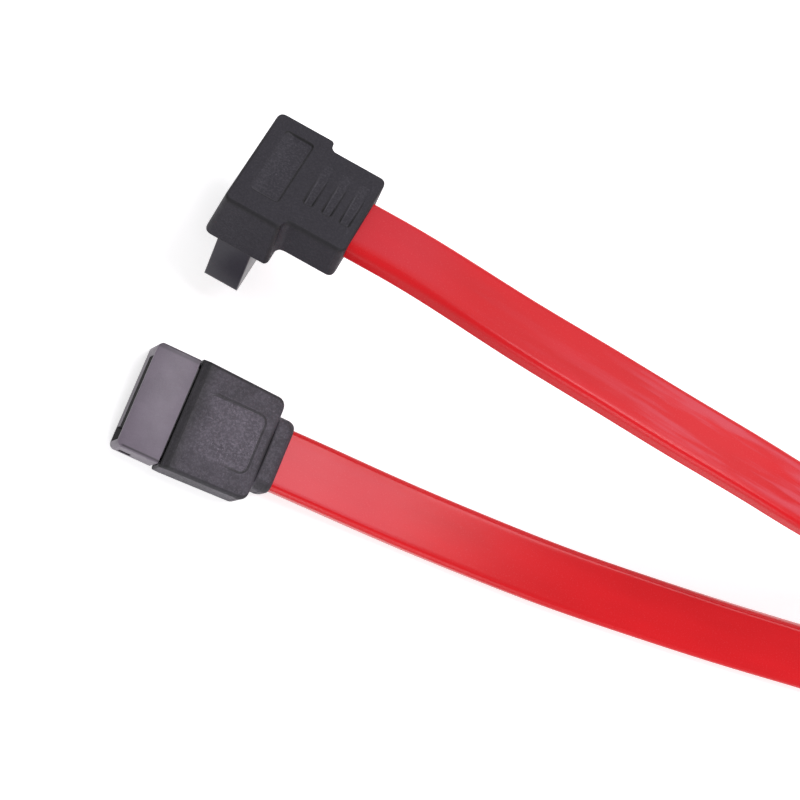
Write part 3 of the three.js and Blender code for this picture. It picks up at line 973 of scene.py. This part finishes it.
@dataclass
class Receptacle:
    """A keyed housing with its contacts, conductors and inner mould."""

    prefix: str
    finish: MouldedPlastic
    centre: tuple[float, float, float] | None = None
    soft_edge: float = 0.09
    on_hull: float = 0.02
    # How deep inside the hull the painted shade is full, in millimetres.
    dim_depth: float = 0.25

    def sunk(self, mesh: bpy.types.Mesh) -> np.ndarray:
        """How far each face's middle lies inside the mesh's hull.

        A face whose plane has every vertex behind it lies on the hull. The depth is the least
        distance from the middle to those planes.

        Args:
            mesh: the mesh, in metres.

        Returns:
            One depth for each face, in millimetres.
        """
        normals = np.array([face.normal for face in mesh.polygons])
        middles = np.array([face.center for face in mesh.polygons])
        places = np.array([vertex.co for vertex in mesh.vertices])
        offsets = (normals * middles).sum(1)
        outer = (places @ normals.T - offsets).max(0) < self.on_hull * MM
        inside = offsets[outer] - middles @ normals[outer].T
        return np.maximum(inside.min(1), 0.0) / MM

    def build(self, plan: FloorPlan) -> bpy.types.Object:
        """The housing with softened edges, and the finishes of the nodes that stay.

        The housing is a copy of its solid, its vertices merged and its flat faces joined, so
        that a bevel can run along its edges. Its hollow gets painted shade, darker further in,
        and, given a centre, painted shade along its top edges.
        """
        node = f"{self.prefix}_receptacle"
        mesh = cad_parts[node].data.copy()
        shape = bmesh.new()
        shape.from_mesh(mesh)
        bmesh.ops.remove_doubles(shape, verts=shape.verts, dist=1e-6)
        bmesh.ops.dissolve_limit(
            shape, angle_limit=math.radians(1.0), verts=shape.verts, edges=shape.edges
        )
        shape.to_mesh(mesh)
        shape.free()
        mesh.polygons.foreach_set("use_smooth", np.ones(len(mesh.polygons), bool))
        # Painted shade on faces inside the hull, fuller further in.
        layer = mesh.attributes.new("dim", "FLOAT", "FACE")
        layer.data.foreach_set("value", np.clip(self.sunk(mesh) / self.dim_depth, 0.0, 1.0))
        # Places in the housing's frame, where the painted shade along its top edges is laid.
        if self.centre is not None:
            places = np.array([vertex.co for vertex in mesh.vertices])
            layer = mesh.attributes.new("place", "FLOAT_VECTOR", "POINT")
            layer.data.foreach_set("vector", (plan.measure(places) - self.centre).ravel())
        housing = make_object(f"{self.prefix}_housing", mesh)
        bevel = housing.modifiers.new("soft_edges", "BEVEL")
        bevel.width = self.soft_edge * MM
        bevel.segments = 3
        bevel.limit_method = "ANGLE"
        bevel.angle_limit = math.radians(40)
        bevel.harden_normals = True
        dress(housing, self.finish)
        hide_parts(node)
        inside = (("contact", 7, GOLD), ("wire", 4, INSULATION), ("drain_wire", 3, TINNED))
        for kind, count, finish in inside:
            for number in range(1, count + 1):
                dress_node(f"{self.prefix}_{kind}_{number}", finish)
        dress_node(f"{self.prefix}_inner_mould", INNER_MOULD)
        LOG.info("%s: housing and the pieces in it dressed", self.prefix)
        return housing


@dataclass(frozen=True)
class Room:
    """One stretch of an overmould's bore: where it ends, and its half width and thickness."""

    end: float
    half: float
    thick: float
    corner: float = 0.3
    rows: int = 3


def bore(rooms: Sequence[Room], start: float, level: float = 0.0) -> Stations:
    """The sections of a bore, room after room inward from the cable's exit.

    Args:
        rooms: its rooms, the cable's first.
        start: where the first room starts along X.
        level: height of the bore's middle.

    Returns:
        The sections.
    """
    runs = []
    for room in rooms:
        high, low = level + room.thick, level - room.thick
        runs.append(Stations.run(room.rows, (start, room.end), room.half, high, low, room.corner))
        start = room.end
    return Stations.join(runs)


@dataclass
class StraightConnector:
    """The straight connector's overmould, in the receptacle's frame.

    A pair named fade, wall, line or dim holds two distances from an edge, in millimetres,
    between which a mark comes in or fades out.
    """

    front: float = 5.95
    front_half: float = 7.3
    rear_half: float = 6.95
    rear: float = 17.6
    half_thick: float = 2.7
    slope: tuple[float, float] = (0.9, 0.4)
    slope_ease: tuple[float, float] = (-0.15, 1.1)
    slope_rest: float = 0.1
    slope_rows: int = 14
    lip: float = 0.15
    lip_corner: float = 0.45
    edge: float = 0.5
    edge_drop: float = 0.38
    corner: float = 1.2
    top_corner: float = 0.5
    collar_half: float = 4.9
    collar_thick: float = 2.45
    collar_end: float = 20.1
    collar_corner: float = 1.35
    collar_fillet: float = 0.3
    collar_round: float = 1.3
    seat_drop: float = 0.05
    seat_corner: float = 1.0
    rim: float = 0.05
    bend_rows: int = 9
    # The mouth's half width, half thickness and corner.
    mouth: tuple[float, float, float] = (6.3, 2.1, 0.3)
    rooms: tuple[Room, ...] = (
        Room(18.2, 4.15, 1.42, 0.86, 4), Room(16.6, 4.6, 0.8), Room(11.3, 5.6, 1.8, rows=4),
    )
    steady: float = 5.0
    label: tuple = ((8.2, -3.9), (16.1, 3.8), 1.0)
    label_depth: float = 0.04
    label_fade: tuple[float, float] = (0.4, -1.0)
    label_wall: tuple[float, float] = (-0.1, 0.0)
    groove: float = 0.06
    groove_line: tuple[float, float] = (0.03, 0.1)
    front_fade: tuple[float, float] = (-0.1, 1.2)
    near_side: float = 1.0
    near_fade: tuple[float, float] = (-3.6, -1.6)
    rough_wall: tuple[float, float] = (-0.4, 0.5)
    rough_fade: tuple[float, float] = (0.0, 1.5)
    # Painted shade on the front slope and on the near side of the collar's foot.
    slope_dim: tuple[float, float] = (0.6, 2.6)
    slope_dark: float = 0.65
    collar_dim: tuple[float, float] = (0.1, 0.3)
    collar_side: tuple[float, float] = (3.2, 4.1)
    collar_dark: float = 0.6

    def outer(self, step: float) -> Stations:
        """The sections along the overmould's outside, from its mouth to the cable's exit."""
        even, rows = Stations.even, self.bend_rows
        quarter = np.linspace(0, math.pi / 2, rows)
        rise, fall = np.sin(quarter), 1 - np.cos(quarter)
        exit_room = self.rooms[0]
        mouth_half, mouth_thick, mouth_corner = self.mouth
        tall, low = self.half_thick, self.half_thick - self.slope[1]
        lip_half, lip_top = self.front_half - self.lip, low - self.lip
        start = self.front + self.lip
        slope_end = self.front + self.slope[0] + self.slope_rest
        bend = self.rear - self.corner
        settle = np.linspace(0, 1, self.slope_rows)
        ramp = low + self.slope[1] * ease(settle, *self.slope_ease)
        ramp[-1] = tall
        taper = (self.front_half - self.rear_half) / (bend - start)
        slope_x = np.linspace(start, slope_end, self.slope_rows)
        edge_start = self.rear - self.edge
        turn = np.linspace(0, math.asin((edge_start - bend) / self.corner), rows)
        last_x = edge_start + self.edge * rise
        last_half = self.rear_half - self.corner + np.sqrt(
            np.maximum(self.corner**2 - (last_x - bend) ** 2, 0)
        )
        last_top = tall - self.edge_drop * fall
        seat_half, seat = self.rear_half - self.corner, last_top[-1]
        foot, fillet = seat - self.seat_drop, self.collar_fillet
        collar_x, close = self.rear + fillet, self.collar_end - self.collar_round
        end_half = self.collar_half - (self.collar_half - exit_room.half) * fall
        end_top = self.collar_thick - (self.collar_thick - exit_room.thick) * fall
        return Stations.join([
            even(4, self.front, (mouth_half, lip_half), (mouth_thick, lip_top),
                 (mouth_corner, self.lip_corner)),
            even(rows, self.front + self.lip * fall, lip_half + self.lip * rise,
                 lip_top + self.lip * rise, self.top_corner),
            even(self.slope_rows, slope_x, self.front_half - taper * (slope_x - start), ramp,
                 self.top_corner),
            even(int((bend - slope_end) / step), (slope_end + step, bend),
                 (self.front_half - taper * (slope_end + step - start), self.rear_half),
                 tall, self.top_corner),
            even(rows, bend + self.corner * np.sin(turn),
                 self.rear_half - self.corner * (1 - np.cos(turn)), tall, self.top_corner),
            even(rows, last_x, last_half, last_top, self.top_corner),
            even(4, self.rear, (seat_half, self.collar_half + fillet), (seat, foot),
                 (self.top_corner, self.seat_corner)),
            even(rows, self.rear + fillet * fall, self.collar_half + fillet - fillet * rise,
                 foot + (self.collar_thick - foot) * rise,
                 (self.seat_corner, self.collar_corner)),
            even(int((close - collar_x) / step), (collar_x + step, close), self.collar_half,
                 self.collar_thick, self.collar_corner),
            even(rows, close + self.collar_round * rise, end_half, end_top,
                 (self.collar_corner, exit_room.corner)),
        ])

    def line(self, x: np.ndarray, y: np.ndarray, away: np.ndarray) -> np.ndarray:
        """How much of the line round the label shows.

        It fades in from the label's front, and on the near side only toward its rear.

        Args:
            x: places along X.
            y: places along Y.
            away: distances outside the label.

        Returns:
            A share from 0 to 1 for each place.
        """
        (front, near), (rear, _), _ = self.label
        first, full = self.front_fade
        line = (1 - ease(np.abs(away), *self.groove_line)) * ease(x, front + first, front + full)
        first, full = self.near_fade
        return np.where(y < near + self.near_side, line * ease(x, rear + first, rear + full), line)

    def dimmed(self, x: np.ndarray, y: np.ndarray) -> np.ndarray:
        """How much painted shade the front slope and the near side of the collar's foot get."""
        first, full = self.slope_dim
        slope = self.slope_dark * (1 - ease(x, self.front + first, self.front + full))
        first, full = self.collar_dim
        foot = self.collar_dark * ease(x, self.rear + first, self.rear + full)
        return np.maximum(slope, foot * ease(-y, *self.collar_side))

    def build(self, plan: FloorPlan, step: float) -> bpy.types.Object:
        """The overmould with its sunk label place and the line round it.

        The label's floor falls away from flush at its front to its full depth, and the line is
        a narrow band along its outline. The line, the front slope and the near side of the
        collar's foot get painted shade.
        """
        outer = self.outer(step)
        rooms = (*self.rooms, Room(self.front + self.rim, *self.mouth, rows=5))
        at = Stations.join([outer, bore(rooms, self.collar_end - self.rim)])
        outside = (np.arange(at.x.size) < outer.x.size)[:, None]
        top = Section.across_flat(self.steady, step)
        section = Section.rounded(top, np.linspace(-1, 1, 31), side=15, bend=7)
        grid = section.loft(at, self.steady)
        x, y = grid[..., 0], grid[..., 1]
        face = (section.out_z[None, :] > 0.99) & (x > self.front + self.slope[0])
        low, high, corner = self.label
        away = outside_distance(x, y, low, high, corner)
        first, full = self.label_fade
        sink = self.label_depth * ease(x, low[0] + first, high[0] + full)
        sink = sink * (1 - ease(away, *self.label_wall))
        line = self.line(x, y, away)
        grid[..., 2] -= np.where(face & outside, sink + self.groove * line, 0.0)
        turn = grid_turn(grid, wrap_rows=True)
        grid[..., 2] += self.half_thick
        # Painted shade on the front slope, the collar's foot and the line round the label.
        dim = np.maximum(self.dimmed(x, y), np.where(face, line, 0.0))
        dim = dim * (outside & (section.out_z > 0.5))
        first, full = self.rough_fade
        rough = (1 - ease(away, *self.rough_wall)) * ease(x, low[0] + first, low[0] + full)
        marks = {"turn": turn, "rough": rough * face, "dim": dim}
        piece = skin("straight_overmould_skin", plan.place(grid), True, marks)
        dress(piece, OVERMOULD_GREY)
        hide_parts("straight_overmould")
        LOG.info("straight_overmould_skin: %d points", turn.size)
        return piece


@dataclass
class AngledConnector:
    """The right-angle connector's overmould: a head, and a strain relief on the cable.

    Its pairs of distances are named as the straight connector's.
    """

    yaw: float = -7.34
    pitch: float = -13.96
    roll: float = -21.34
    origin: tuple[float, float, float] = (-0.78, 29.97, 17.2898)
    head_half: float = 7.95
    head_length: float = 7.6
    head_depth: float = 7.4
    splay: tuple[float, float, float] = (0.8, 0.3, 0.35)
    relief_half: float = 6.55
    relief_end: float = 15.5
    relief_depth: float = 5.5
    corner: float = 0.9
    edge: float = 0.3
    back_corner: float = 0.5
    fillet: float = 0.85
    bend_rows: int = 13
    rim: float = 0.05
    cable_z: float = -3.0
    cable_gap: float = 0.3
    rooms: tuple[Room, ...] = (
        Room(12.9, 4.15, 1.42, 0.86, 4), Room(11.5, 4.6, 0.8), Room(6.4, 5.6, 1.8),
    )
    steady: float = 6.3
    # The section that the front face starts from: half width, top, bottom and corner.
    front_core: tuple = (1.0, -3.0, -5.5, 0.3)
    mouth: tuple = ((1.15, -6.3), (5.35, 6.3), 1.8)
    mouth_corner: float = 0.05
    mouth_wall: tuple[float, float] = (-0.03, 0.03)
    label: tuple = ((1.95, -4.7), (5.7, 5.7), 0.4)
    label_depth: float = 0.24
    label_wall: tuple[float, float] = (-0.08, 0.04)
    label_fade: tuple[float, float] = (-0.3, 1.6)
    label_rough: tuple[float, float] = (-0.4, 0.3)
    # Painted shade on the label place's far and rear edges, at the grips' near ends, and in a line
    # along the near side below the top.
    far_dim: tuple[float, float] = (-0.8, -0.3)
    rear_dim: tuple[float, float] = (-0.6, -0.2)
    rear_share: float = 0.6
    grips: tuple = ((8.3, 9.4), (10.8, 11.9), (13.2, 14.4))
    grip_y: tuple[float, float] = (-2.8, 4.0)
    grip_corner: float = 0.25
    grip_depth: float = 0.26
    grip_fall: tuple[float, float] = (1.3, 1.22)
    grip_fade: tuple[float, float] = (0.3, 5.5)
    grip_wall: tuple[float, float] = (-0.08, 0.06)
    grip_rough: tuple[float, float] = (-0.3, 0.3)
    grip_dim: tuple[float, float] = (0.4, 2.4)
    dim_line: tuple[float, float] = (0.04, 0.16)
    dark: float = 0.9
    under_edge: float = -0.42
    under_line: tuple[float, float] = (0.1, 0.3)
    under_dark: float = 0.7

    def turned(self) -> np.ndarray:
        """The connector's turn: roll about X, then pitch about Y, then yaw about Z."""
        made = np.eye(3)
        for axis, angle in ((0, self.roll), (1, self.pitch), (2, self.yaw)):
            c, s = math.cos(math.radians(angle)), math.sin(math.radians(angle))
            a, b = (axis + 1) % 3, (axis + 2) % 3
            step = np.eye(3)
            step[a, a] = step[b, b] = c
            step[b, a], step[a, b] = s, -s
            made = step @ made
        return made

    def place(self, points: np.ndarray) -> np.ndarray:
        """Points of the connector's own frame on the floor plan."""
        return np.asarray(points, float) @ self.turned().T + np.array(self.origin)

    def cable_end(self) -> np.ndarray:
        """The last points of the cable's route, on the floor plan."""
        xs = (self.relief_end + 6, self.relief_end, self.rooms[0].end + self.cable_gap)
        return self.place(np.array([(x, 0.0, self.cable_z) for x in xs]))

    def outer(self, step: float) -> Stations:
        """The sections along the overmould's outside, from its front face to the exit."""
        run, rows = Stations.run, self.bend_rows
        quarter = np.linspace(0, math.pi / 2, rows)
        rise, fall = np.sin(quarter), 1 - np.cos(quarter)
        edge, deep, shallow = self.edge, -self.head_depth, -self.relief_depth

        def rounded(distance: np.ndarray) -> np.ndarray:
            """How far an edge of the set radius falls at a distance from the end face."""
            past = np.clip(edge - distance, 0, edge)
            return edge - np.sqrt(np.maximum(edge**2 - past**2, 0))

        front_x = self.corner * fall
        front_drop = rounded(front_x)
        soft = self.back_corner
        back = self.head_length - soft
        end = self.relief_end - self.corner
        end_x = end + self.corner * rise
        end_drop = rounded(self.relief_end - end_x)
        inner = self.relief_half + self.fillet
        start = self.head_length + self.fillet
        core_half, core_top, core_low, core_corner = self.front_core
        exit_room = self.rooms[0]
        exit_top, exit_low = self.cable_z + exit_room.thick, self.cable_z - exit_room.thick
        return Stations.join([
            run(6, 0.0, (core_half, self.head_half - self.corner), (core_top, -edge),
                (core_low, deep + edge), (core_corner, edge)),
            run(rows, front_x, self.head_half - self.corner + self.corner * rise, -front_drop,
                deep + front_drop, edge),
            run(int((back - self.corner) / step), (self.corner + step, back), self.head_half,
                0.0, deep, edge),
            run(rows, back + soft * rise, self.head_half - soft * fall, 0.0,
                deep + edge * fall, edge),
            run(6, self.head_length, (self.head_half - soft, inner), 0.0,
                (deep + edge, shallow - self.fillet), edge),
            run(rows, self.head_length + self.fillet * fall, inner - self.fillet * rise, 0.0,
                shallow - self.fillet + self.fillet * rise, edge),
            run(int((end - start) / step), (start + step, end), self.relief_half, 0.0,
                shallow, edge),
            run(rows, end_x, self.relief_half - self.corner * fall, -end_drop,
                shallow + end_drop, edge),
            run(5, self.relief_end, (self.relief_half - self.corner, exit_room.half),
                (-edge, exit_top), (shallow + edge, exit_low), (edge, exit_room.corner)),
        ])

    def splayed(self, grid: np.ndarray, weight: np.ndarray) -> np.ndarray:
        """The head with walls that splay evenly from its top to its foot.

        The depth's share of the head's depth, faded out past the head's length, carries the
        front forward, the back rearward and each side outward by its splay.

        Args:
            grid: the overmould's points.
            weight: how much each point follows, 0 in the bore and at the mouth's rim.

        Returns:
            The moved points.
        """
        front, back, side = self.splay
        x, y, z = grid[..., 0], grid[..., 1], grid[..., 2]
        down = np.clip(-z / self.head_depth, 0.0, 1.0)
        down = down * (1 - ease(x, self.head_length, self.head_length + 2 * self.fillet))
        along = np.clip(x / self.head_length, 0.0, 1.0)
        shift = down * (back * along - front * (1 - along))
        moved = grid.copy()
        moved[..., 0] = x + weight * shift
        moved[..., 1] = y + weight * down * side * y / self.head_half
        return moved

    def label_place(self, x: np.ndarray, y: np.ndarray) -> tuple[np.ndarray, ...]:
        """How far the label place sinks, how rough it is, and how much painted shade its far and
        rear edges get.

        Args:
            x: places along X.
            y: places along Y.

        Returns:
            Depth in millimetres, and two shares from 0 to 1.
        """
        low, high, corner = self.label
        away = outside_distance(x, y, low, high, corner)
        first, full = self.label_fade
        sink = self.label_depth * (1 - ease(away, *self.label_wall))
        sink = sink * ease(x, low[0] + first, low[0] + full)
        rough = 1 - ease(away, *self.label_rough)
        first, full = self.far_dim
        far = ease(y, high[1] + first, high[1] + full)
        first, full = self.rear_dim
        rear = self.rear_share * ease(x, high[0] + first, high[0] + full)
        ends = np.maximum(far, rear)
        return sink, rough, self.dark * ends * (1 - ease(np.abs(away), *self.dim_line))

    def grip(self, x: np.ndarray, y: np.ndarray, ends: Sequence[float]) -> tuple[np.ndarray, ...]:
        """How far a grip sinks, how rough it is, and how much painted shade its edge gets at its
        near end.

        Args:
            x: places along X.
            y: places along Y.
            ends: where it starts and ends along X.

        Returns:
            Depth in millimetres, and two shares from 0 to 1.
        """
        near, far = self.grip_y
        away = outside_distance(x, y, (ends[0], near), (ends[1], far), self.grip_corner)
        first, full = self.grip_fade
        most, loss = self.grip_fall
        share = most - loss * ease(y, near + first, near + full)
        sink = self.grip_depth * share * (1 - ease(away, *self.grip_wall))
        rough = 1 - ease(away, *self.grip_rough)
        first, full = self.grip_dim
        hook = self.dark * (1 - ease(y, near + first, near + full))
        return sink, rough, hook * (1 - ease(np.abs(away), *self.dim_line))

    def build(self, plan: FloorPlan, step: float) -> bpy.types.Object:
        """The overmould with its label place, its grips and the mouth for the housing.

        Each recess lowers the flat inside its outline, through a narrow smooth step. The grips
        are deepest at one end, and the surface is rough inside the outlines. The label place's
        far and rear edges, the grips' near ends and a line below the top on the near side get
        painted shade.
        """
        outer = self.outer(step)
        at = Stations.join([outer, bore(self.rooms, self.relief_end - self.rim, self.cable_z)])
        outside = (np.arange(at.x.size) < outer.x.size)[:, None]
        top = Section.across_flat(self.steady, step)
        # A sample stands close on either side of each of the mouth's two sides.
        side = 0.8 * np.array([-1.003, -0.997, -0.6, -0.2, 0.2, 0.6, 0.997, 1.003])
        bottom = np.concatenate([np.linspace(-1, -0.82, 5), side, np.linspace(0.82, 1, 5)])
        section = Section.rounded(top, bottom, side=15, bend=7)
        grid = section.loft(at, self.steady)
        x, y, z = grid[..., 0], grid[..., 1], grid[..., 2]
        over = (section.out_z[None, :] > 0.99) & outside
        under = (section.out_z[None, :] < -0.99) & outside
        sink, rough, dim = self.label_place(x, y)
        for ends in self.grips:
            deeper, rougher, dimmer = self.grip(x, y, ends)
            sink = sink + deeper
            rough = np.maximum(rough, rougher)
            dim = np.maximum(dim, dimmer)
        # A line of painted shade along the near side, just below the top.
        shade = (1 - ease(np.abs(z - self.under_edge), *self.under_line)) * (section.out_y < -0.2)
        dim = np.where(over, dim, self.under_dark * shade * outside)
        grid[..., 2] -= np.where(over, sink, 0.0)
        low, high, depth = self.mouth
        away = outside_distance(x, y, low, high, self.mouth_corner)
        cut = depth * (1 - ease(away, *self.mouth_wall))
        grid[..., 2] += np.where(under & (x < self.head_length), cut, 0.0)
        grid = self.splayed(grid, outside * np.clip(away, 0.0, 1.0))
        turn = grid_turn(grid, wrap_rows=False)
        piece = skin(
            "angled_overmould_skin", plan.place(self.place(grid)), False,
            {"turn": turn, "rough": np.where(over, rough, 0.0), "dim": dim},
        )
        dress(piece, OVERMOULD_BLACK)
        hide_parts("angled_overmould")
        LOG.info("angled_overmould_skin: %d points", turn.size)
        return piece


# The studio


@dataclass(frozen=True)
class SoftBox:
    """A soft square light, aimed at a point of the floor plan."""

    name: str
    position: tuple[float, float, float]
    target: tuple[float, float, float]
    size: float
    power: float
    tint: Colour = (0.97, 0.93, 1.0)

    def build(self, plan: FloorPlan) -> None:
        """Hangs the light."""
        data = bpy.data.lights.new(self.name, "AREA")
        data.shape, data.size, data.energy = "SQUARE", self.size, self.power
        data.color = self.tint
        here = plan.place(np.array(self.position))
        back = here - plan.place(np.array(self.target))
        back /= np.linalg.norm(back)
        across = np.cross([0.0, 1.0, 0.0], back)
        across /= np.linalg.norm(across)
        aimed_object(self.name, data, (across, np.cross(back, across), back), here)


@dataclass
class Studio:
    """A pale floor, an even sky and soft lights."""

    sky: float = 0.45
    floor_shade: float = 0.8
    floor_lift: float = 0.58
    floor_reach: float = 3.0
    boxes: tuple = (
        SoftBox("overhead", (255.0, 290.0, 800.0), (60.0, 15.0, 0.0), 0.4, 4.0),
        SoftBox("rear", (290.0, 730.0, 638.0), (60.0, 20.0, 0.0), 0.6, 1.7),
        SoftBox("front", (240.0, -640.0, 520.0), (60.0, 10.0, 0.0), 0.3, 1.1),
        SoftBox("low_front", (160.0, -700.0, 220.0), (60.0, 10.0, 0.0), 0.4, 1.7),
    )

    @staticmethod
    def seen(tree: Tree) -> object:
        """1 for rays that see the background: the camera's, mirrored and refracted ones."""
        path = tree.add("ShaderNodeLightPath").outputs
        either = tree.math("MAXIMUM", path["Is Camera Ray"], path["Is Glossy Ray"])
        return tree.math("MAXIMUM", either, path["Is Transmission Ray"])

    def spread_sky(self) -> None:
        """Sets an even sky, white behind the scene."""
        world = bpy.data.worlds.new("even_sky")
        world.use_nodes = True
        bpy.context.scene.world = world
        tree = Tree(world.node_tree)
        background = world.node_tree.nodes["Background"]
        strength = tree.add("ShaderNodeMapRange")
        tree.feed(strength.inputs["Value"], self.seen(tree))
        strength.inputs["To Min"].default_value = self.sky
        strength.inputs["To Max"].default_value = 1.0
        background.inputs["Color"].default_value = (1.0, 1.0, 1.0, 1.0)
        tree.feed(background.inputs["Strength"], strength.outputs[0])

    def lay_floor(self) -> None:
        """Lays the floor, lifted toward white for the rays that see the background."""
        mesh = bpy.data.meshes.new("floor")
        reach = self.floor_reach
        corners = [(-reach, -reach, 0), (reach, -reach, 0), (reach, reach, 0), (-reach, reach, 0)]
        mesh.from_pydata(corners, [], [(0, 1, 2, 3)])
        floor = make_object("floor", mesh)
        made = bpy.data.materials.new("pale_floor")
        made.use_nodes = True
        nodes = Tree(made.node_tree)
        made.node_tree.nodes.remove(made.node_tree.nodes["Principled BSDF"])
        matte = nodes.add("ShaderNodeBsdfDiffuse")
        matte.inputs["Color"].default_value = (*(self.floor_shade,) * 3, 1.0)
        glow = nodes.add("ShaderNodeEmission")
        lift = nodes.math("MULTIPLY", self.seen(nodes), self.floor_lift)
        nodes.feed(glow.inputs["Strength"], lift)
        both = nodes.add("ShaderNodeAddShader")
        nodes.feed(both.inputs[0], matte.outputs[0])
        nodes.feed(both.inputs[1], glow.outputs[0])
        nodes.feed(made.node_tree.nodes["Material Output"].inputs["Surface"], both.outputs[0])
        mesh.materials.append(made)

    def build(self, plan: FloorPlan) -> None:
        """Sets the sky, hangs the lights and lays the floor."""
        self.spread_sky()
        for box in self.boxes:
            box.build(plan)
        self.lay_floor()
        bpy.context.scene.view_settings.view_transform = "Standard"


def main() -> None:
    """Builds the camera, the cable, the connectors and the studio."""
    logging.basicConfig(level=logging.INFO, format="%(name)s: %(message)s")
    plan = FloorPlan()
    Viewpoint().build(plan)
    angled = AngledConnector()
    step = Level.FINE.value
    FlatCable().build(plan, angled.cable_end(), -angled.roll)
    straight = StraightConnector()
    Receptacle("straight", HOUSING_GREY, (0.0, 0.0, straight.half_thick)).build(plan)
    straight.build(plan, step)
    Receptacle("angled", HOUSING_BLACK).build(plan)
    angled.build(plan, step)
    Studio().build(plan)


if __name__ == "__main__":
    main()
